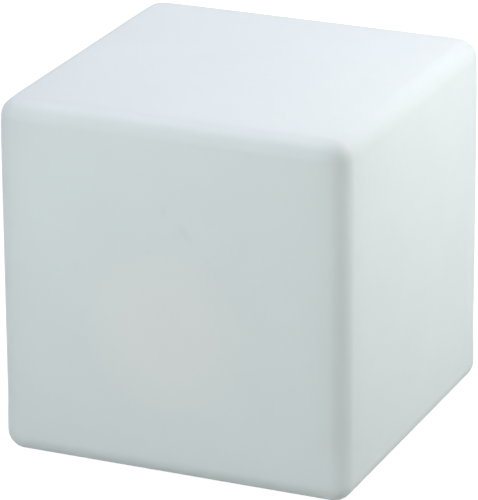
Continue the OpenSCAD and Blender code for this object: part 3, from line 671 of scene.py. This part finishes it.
def parting_line():
    """Low ridge round the flat of the base."""
    corner = PARTING_HALF - PARTING_TURN
    path = []
    for quarter, (x, y) in enumerate(((1, 1), (-1, 1), (-1, -1), (1, -1))):
        path += arc((x * corner, y * corner), PARTING_TURN, 90 * quarter, 90 * quarter + 90, 8)
    across = PARTING_WIDTH / 2
    angles = [math.radians(t) for t in range(-90, 91, 30)]
    crest = [(across * math.sin(t), BASE_Z - PARTING_PROUD * math.cos(t)) for t in angles]
    root_z = BASE_Z + PARTING_ROOT
    verts, faces = ribbon(path, [(-across, root_z)] + crest + [(across, root_z)])
    new_piece("parting_line", verts, faces, "cube", "shell_plastic")


def raised(skin, path, width, z, proud):
    """Raised line on a face that looks down at height z: a flat path of that width, with sloping sides."""
    across = width / 2
    section = [
        (-across - proud, z + proud), (-across, z - proud),
        (across, z - proud), (across + proud, z + proud),
    ]
    skin.add(*ribbon(path, section, False))


def button_symbol():
    """Raised on-off sign in the button's dish: an open ring and a bar."""
    x, y = BUTTON_PLACE
    face_z = box_mm("power_button")[0][2] + SIGN_INSET
    ring = arc(BUTTON_PLACE, SIGN_R, 90 + SIGN_GAP, 450 - SIGN_GAP, 40)
    bar = [(x, y + SIGN_R * t) for t in SIGN_BAR]
    skin = Skin()
    raised(skin, ring, SIGN_LINE, face_z, SIGN_PROUD)
    raised(skin, bar, SIGN_LINE, face_z, SIGN_PROUD)
    new_piece("button_symbol", skin.verts, skin.faces, "button", "frosted_plastic", 20)


def flap_grip():
    """Finger ribs across the flap, towards its tab."""
    x, y = JACK_PLACE
    skin = Skin()
    for step, reach in enumerate(RIB_REACHES):
        rib_y = y + RIB_FIRST + RIB_PITCH * step
        raised(skin, [(x - reach, rib_y), (x, rib_y), (x + reach, rib_y)], RIB_WIDTH, FLAP_Z, RIB_PROUD)
    new_piece("flap_grip", skin.verts, skin.faces, "flap", "flap_rubber", 20)


shell()
feet()
parting_line()
button_symbol()
flap_grip()


# Stage: strengths of the world's light from above and below, and the heights between which they change over
AMBIENT = 0.274
FROM_BELOW = 0.6
HORIZON = (-0.02, 0.0)
WHITE = (1, 1, 1, 1)

# Floor, in metres from its middle: its reach, the window under the object, and the painted shadow band at the
# gap under its rounded foot
FLOOR_HALF = 12.0
WINDOW = (0.15, 0.2)
PAINTED_SHADOW_AT = 0.155
PAINTED_SHADOW_FADE = (0.01, 0.021)
FLOOR_TONE = 0.35
FLOOR_GLOW = 0.9


def seen_rays(n):
    """1 for the camera's rays and what metal and glass reflect or let through, then every kind of ray."""
    rays = n.add("ShaderNodeLightPath").outputs
    seen = n.math("MAXIMUM", rays["Is Camera Ray"], rays["Is Glossy Ray"])
    return n.math("MAXIMUM", seen, rays["Is Transmission Ray"]), rays


def make_world():
    """Grey light from all round, brighter from below, and a white background."""
    world = bpy.data.worlds.new("studio")
    bpy.context.scene.world = world
    world.use_nodes = True
    n = Nodes(world.node_tree)
    seen, _ = seen_rays(n)
    height = n.axes(n.coords["Generated"])["Z"]
    light = n.map_range(height, HORIZON, (FROM_BELOW, AMBIENT))
    back = n.tree.nodes["Background"]
    n.put(back.inputs["Strength"], n.map_range(seen, (0.0, 1.0), (light, 1.0)))
    n.put(back.inputs["Color"], WHITE)


def floor_material():
    """White to the eye and matte to light, but for a painted shadow round the object's foot, and clear from
    below and, in its window, to light going up.
    """
    material = bpy.data.materials.new("floor")
    material.use_nodes = True
    material.node_tree.nodes.clear()
    n = Nodes(material.node_tree)
    seen, rays = seen_rays(n)
    x, y, _ = n.axes(n.place)
    reach = n.math("MAXIMUM", n.math("ABSOLUTE", x), n.math("ABSOLUTE", y))
    # Painted shadow: not white in the narrow gap under the object's rounded foot, so it and its reflection in
    # the bottom edges show dark
    from_painted_shadow = n.math("ABSOLUTE", n.math("SUBTRACT", reach, PAINTED_SHADOW_AT))
    white = n.math("MULTIPLY", seen, n.map_range(from_painted_shadow, PAINTED_SHADOW_FADE))
    matte = n.add("ShaderNodeBsdfDiffuse", Color=(FLOOR_TONE, FLOOR_TONE, FLOOR_TONE, 1))
    glow = n.add("ShaderNodeEmission", Strength=n.math("MULTIPLY", white, FLOOR_GLOW))
    lit = n.add("ShaderNodeAddShader")
    n.put(lit.inputs[0], matte.outputs[0])
    n.put(lit.inputs[1], glow.outputs[0])
    lights_up = n.math("MAXIMUM", rays["Is Shadow Ray"], rays["Is Diffuse Ray"])
    window = n.map_range(reach, WINDOW, (1.0, 0.0), "SMOOTHSTEP")
    below = n.add("ShaderNodeNewGeometry").outputs["Backfacing"]
    mixed = n.add("ShaderNodeMixShader")
    n.put(mixed.inputs[0], n.math("MAXIMUM", below, n.math("MULTIPLY", window, lights_up)))
    n.put(mixed.inputs[1], lit.outputs[0])
    n.put(mixed.inputs[2], n.add("ShaderNodeBsdfTransparent").outputs[0])
    n.add("ShaderNodeOutputMaterial", Surface=mixed.outputs[0])
    return material


def make_floor():
    """Pale floor that keeps the object's shadow."""
    corners = [(-1, -1), (1, -1), (1, 1), (-1, 1)]
    mesh = bpy.data.meshes.new("floor")
    mesh.from_pydata([(x * FLOOR_HALF, y * FLOOR_HALF, 0) for x, y in corners], [], [(0, 1, 2, 3)])
    mesh.materials.append(floor_material())
    floor = bpy.data.objects.new("floor", mesh)
    bpy.context.scene.collection.objects.link(floor)


# Lamps: where they look, and their distances with the sides of their squares, in metres
LAMP_AIM = Vector((0, 0, 0.2))
FAR = (2.2, 1.2)
HIGH = (2.0, 1.0)
NEAR = (0.95, 0.5)
BEHIND = (1.6, 0.36)
COOL = (0.97, 1.0, 1.0)


def lamp(name, azimuth, elevation, reach, power, colour, sheen=True):
    """Square soft lamp that looks at the cube, at angles in degrees, with its power in watts.

    Without sheen it shows in no gloss, only in what it lights.
    """
    distance, size = reach
    away = direction(azimuth, elevation)
    data = bpy.data.lights.new(name, "AREA")
    data.shape = "SQUARE"
    data.size = size
    data.energy = power
    data.color = colour
    light = bpy.data.objects.new(name, data)
    bpy.context.scene.collection.objects.link(light)
    light.location = LAMP_AIM + away * distance
    light.rotation_mode = "QUATERNION"
    light.rotation_quaternion = away.to_track_quat("Z", "Y")
    light.visible_camera = False
    light.visible_glossy = sheen


make_world()
make_floor()
lamp("behind", 180, 0, BEHIND, 3.8, COOL, sheen=False)
lamp("behind_left", -150, 0, BEHIND, 3.2, COOL, sheen=False)
lamp("left", -90, 42, FAR, 3.51, (0.43, 0.73, 1))
lamp("front", 0, 12, FAR, 6.55, (0.92, 1, 0.96))
lamp("left_high", -60, 70, HIGH, 10.82, (0.9, 0.94, 1))
lamp("back_high", 240, 70, HIGH, 3.45, (0.79, 0.82, 1))
lamp("front_near", -20, 10, NEAR, 1.37, (0.92, 0.99, 1))
lamp("front_low", 15, 10, NEAR, 1.00, (0.9, 1, 0.93))
lamp("right_middle", 90, 30, NEAR, 1.73, (0.93, 1, 0.96), sheen=False)
lamp("right_low", 110, 10, NEAR, 1.71, (0.89, 1, 0.98), sheen=False)
lamp("right_high", 110, 45, NEAR, 2.12, (1, 0.93, 0.96))
lamp("back_near", 200, 45, NEAR, 0.60, (0.96, 1, 0.98))

bpy.context.scene.view_settings.view_transform = "Standard"
